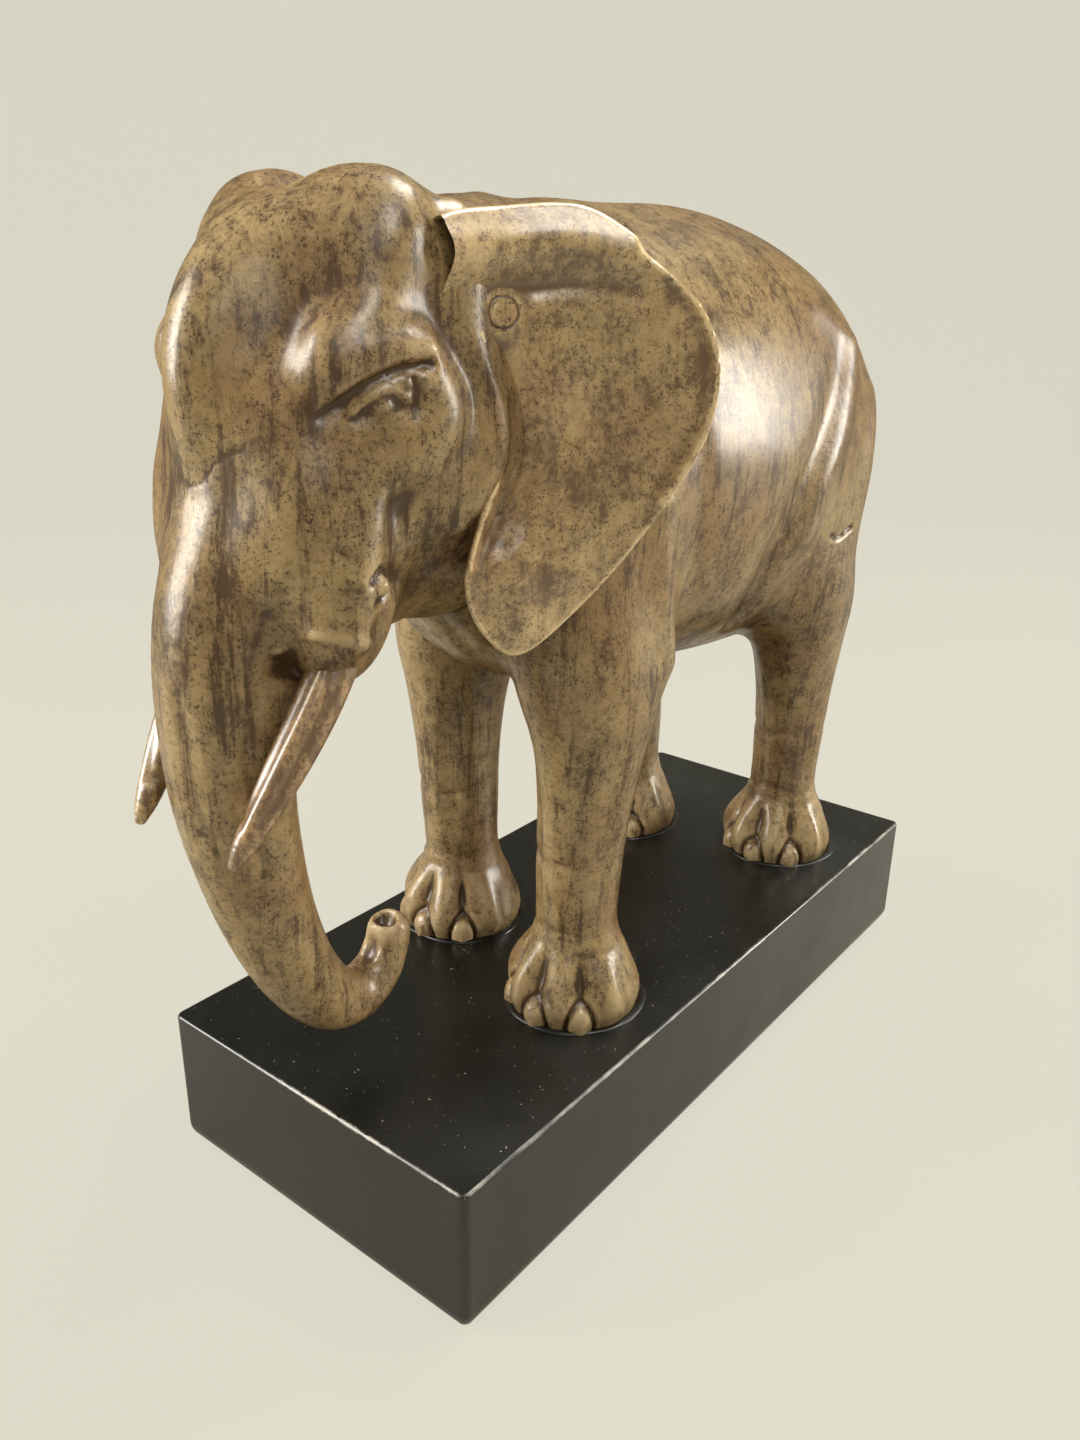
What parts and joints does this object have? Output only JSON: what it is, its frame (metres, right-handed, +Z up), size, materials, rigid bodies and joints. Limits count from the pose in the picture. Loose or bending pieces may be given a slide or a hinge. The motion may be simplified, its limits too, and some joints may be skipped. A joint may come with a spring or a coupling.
{
  "type": "carved wooden elephant",
  "caption": "Carved wooden elephant with curled trunk, spread ears and short tusks, standing on a thick dark rectangular plinth.",
  "frame": {"origin": "middle of the plinth's underside, on the surface that it stands on", "axes": "+Z up, -Y where the elephant looks, +X the elephant's own left"},
  "size_m": [0.1738, 0.3547, 0.3312],
  "materials": {
    "carved_wood": "stained brown in the hollows, rubbed to golden tan on the high places, satin lacquer",
    "tusk_wood": "paler grain running along the tusk, satin lacquer",
    "plinth_lacquer": "black stain under semi-gloss lacquer, edges worn",
    "dowel_wood": "end grain, stained",
    "screw_steel": "zinc-plated"
  },
  "bodies": {
    "root": {"plinth": "plinth_lacquer", "body": "carved_wood", "trunk": "carved_wood", "left_ear": "carved_wood", "right_ear": "carved_wood", "left_tusk": "tusk_wood", "right_tusk": "tusk_wood", "tail": "carved_wood", "left_ear_dowel": "dowel_wood", "right_ear_dowel": "dowel_wood", "trunk_dowel": "dowel_wood", "foot_screw_front_left": "screw_steel", "foot_screw_front_right": "screw_steel", "foot_screw_rear_left": "screw_steel", "foot_screw_rear_right": "screw_steel"}
  },
  "joints": []
}
